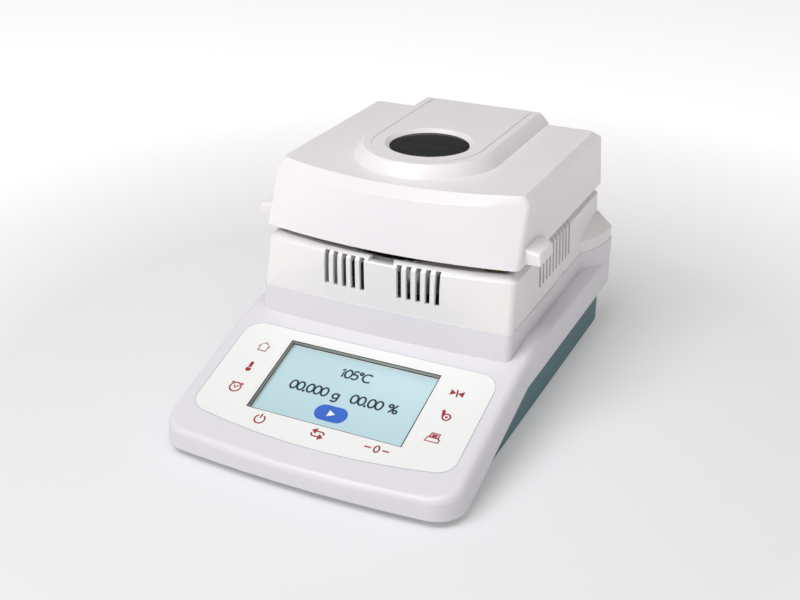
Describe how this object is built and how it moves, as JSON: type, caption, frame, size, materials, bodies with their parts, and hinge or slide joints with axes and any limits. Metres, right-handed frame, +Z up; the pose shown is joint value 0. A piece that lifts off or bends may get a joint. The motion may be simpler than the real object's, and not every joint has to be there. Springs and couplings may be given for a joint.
{
  "type": "moisture analyzer",
  "caption": "Bench moisture analyzer: teal tray, white case with sloping keypad and display, vented weighing chamber, and a hinged halogen lid with a round sight window.",
  "frame": {"origin": "on the bench, under the middle of the case", "axes": "+X to the right as seen from the keypad, +Y to the back, +Z up"},
  "size_m": [0.212, 0.316, 0.1688],
  "materials": {
    "teal_plastic": "fine moulded texture, satin",
    "white_plastic": "smooth moulded, satin",
    "housing_plastic": "smooth moulded, satin",
    "lid_plastic": "smooth moulded, satin",
    "grey_plastic": "heat resistant, matt",
    "black_plastic": "moulded",
    "rocker_plastic": "gloss",
    "membrane_plastic": "fine-grained film",
    "gasket_rubber": "matt foam",
    "foot_rubber": "matt",
    "display_glass": "lit display face",
    "window_glass": "dark heat-resistant glass",
    "clear_glass": "clear",
    "fuse_glass": "clear tube",
    "level_fluid": "clear green vial",
    "lamp_quartz": "clear quartz",
    "lamp_ceramic": "unglazed",
    "sheet_steel": "brushed",
    "zinc_steel": "zinc plated",
    "pan_aluminium": "spun, satin",
    "pin_brass": "bright",
    "board_green": "solder mask"
  },
  "bodies": {
    "base": {"base_tray": "teal_plastic", "top_cover": "white_plastic", "case_screws": "zinc_steel", "back_feet": "foot_rubber", "keypad_membrane": "membrane_plastic", "key_board": "board_green", "display_gasket": "gasket_rubber", "display_glass": "display_glass", "display_module": "sheet_steel", "display_board": "board_green", "chamber_housing": "housing_plastic", "housing_screws": "zinc_steel", "heat_deflector": "sheet_steel", "chamber_liner": "sheet_steel", "draft_shield": "pan_aluminium", "level_body": "housing_plastic", "level_vial": "level_fluid", "lid_sensor": "black_plastic", "lid_bumpers": "foot_rubber", "load_cell": "pan_aluminium", "cell_mount": "sheet_steel", "cell_screws": "zinc_steel", "main_board": "board_green", "power_supply": "board_green", "heater_relay": "pan_aluminium", "mains_inlet": "black_plastic", "inlet_pins": "pin_brass", "switch_body": "black_plastic", "serial_port": "zinc_steel", "serial_pins": "pin_brass", "chamber_leaves": "zinc_steel", "hinge_pins": "zinc_steel"},
    "lid": {"lid_shell": "lid_plastic", "lid_underside": "grey_plastic", "window_glass": "window_glass", "window_ring": "sheet_steel", "sight_tube": "pan_aluminium", "reflector": "pan_aluminium", "halogen_lamp": "lamp_quartz", "lamp_holders": "lamp_ceramic", "guard_glass": "clear_glass", "glass_ring": "sheet_steel", "temperature_probe": "sheet_steel", "lid_magnet": "sheet_steel", "lid_screws": "zinc_steel", "terminal_block": "lamp_ceramic", "lid_leaves": "zinc_steel"},
    "weigh_carrier": {"pan_carrier": "sheet_steel"},
    "pan": {"sample_pan": "pan_aluminium", "pan_handler": "sheet_steel"},
    "rocker": {"switch_rocker": "rocker_plastic"},
    "fuse_holder": {"fuse_drawer": "black_plastic", "fuse": "fuse_glass"},
    "left_pad": {"foot_pad_left": "foot_rubber"},
    "right_pad": {"foot_pad_right": "foot_rubber"},
    "left_screw": {"foot_wheel_left": "zinc_steel", "foot_stem_left": "zinc_steel"},
    "right_screw": {"foot_wheel_right": "zinc_steel", "foot_stem_right": "zinc_steel"}
  },
  "joints": [
    {"name": "lid_hinge", "type": "hinge", "parent": "base", "child": "lid", "pos_m": [0, 0.15, 0.11475], "axis": [-1, 0, 0], "range_deg": [0, 80]},
    {"name": "weighing_travel", "type": "slide", "parent": "base", "child": "weigh_carrier", "axis": [0, 0, -1], "range_m": [0, 0.0003], "stiffness_N_per_m": 5000, "springref_m": -0.0006},
    {"name": "pan_lift", "type": "slide", "parent": "weigh_carrier", "child": "pan", "axis": [0, 0, 1], "range_m": [0, 0.012]},
    {"name": "power_rocker", "type": "hinge", "parent": "base", "child": "rocker", "pos_m": [-0.024, 0.1464, 0.03], "axis": [-1, 0, 0], "range_deg": [0, 18]},
    {"name": "fuse_drawer_slide", "type": "slide", "parent": "base", "child": "fuse_holder", "axis": [0, 1, 0], "range_m": [0, 0.022]},
    {"name": "left_foot_travel", "type": "slide", "parent": "base", "child": "left_pad", "axis": [0, 0, -1], "range_m": [0, 0.006]},
    {"name": "right_foot_travel", "type": "slide", "parent": "base", "child": "right_pad", "axis": [0, 0, -1], "range_m": [0, 0.006]},
    {"name": "left_screw_turn", "type": "hinge", "parent": "left_pad", "child": "left_screw", "pos_m": [-0.078, -0.116, 0], "axis": [0, 0, 1], "range_deg": [0, 2160]},
    {"name": "right_screw_turn", "type": "hinge", "parent": "right_pad", "child": "right_screw", "pos_m": [0.078, -0.116, 0], "axis": [0, 0, 1], "range_deg": [0, 2160]}
  ],
  "couplings": [
    {"joint": "left_foot_travel", "follows": "left_screw_turn", "m_per_rad": 0.000159},
    {"joint": "right_foot_travel", "follows": "right_screw_turn", "m_per_rad": 0.000159}
  ]
}
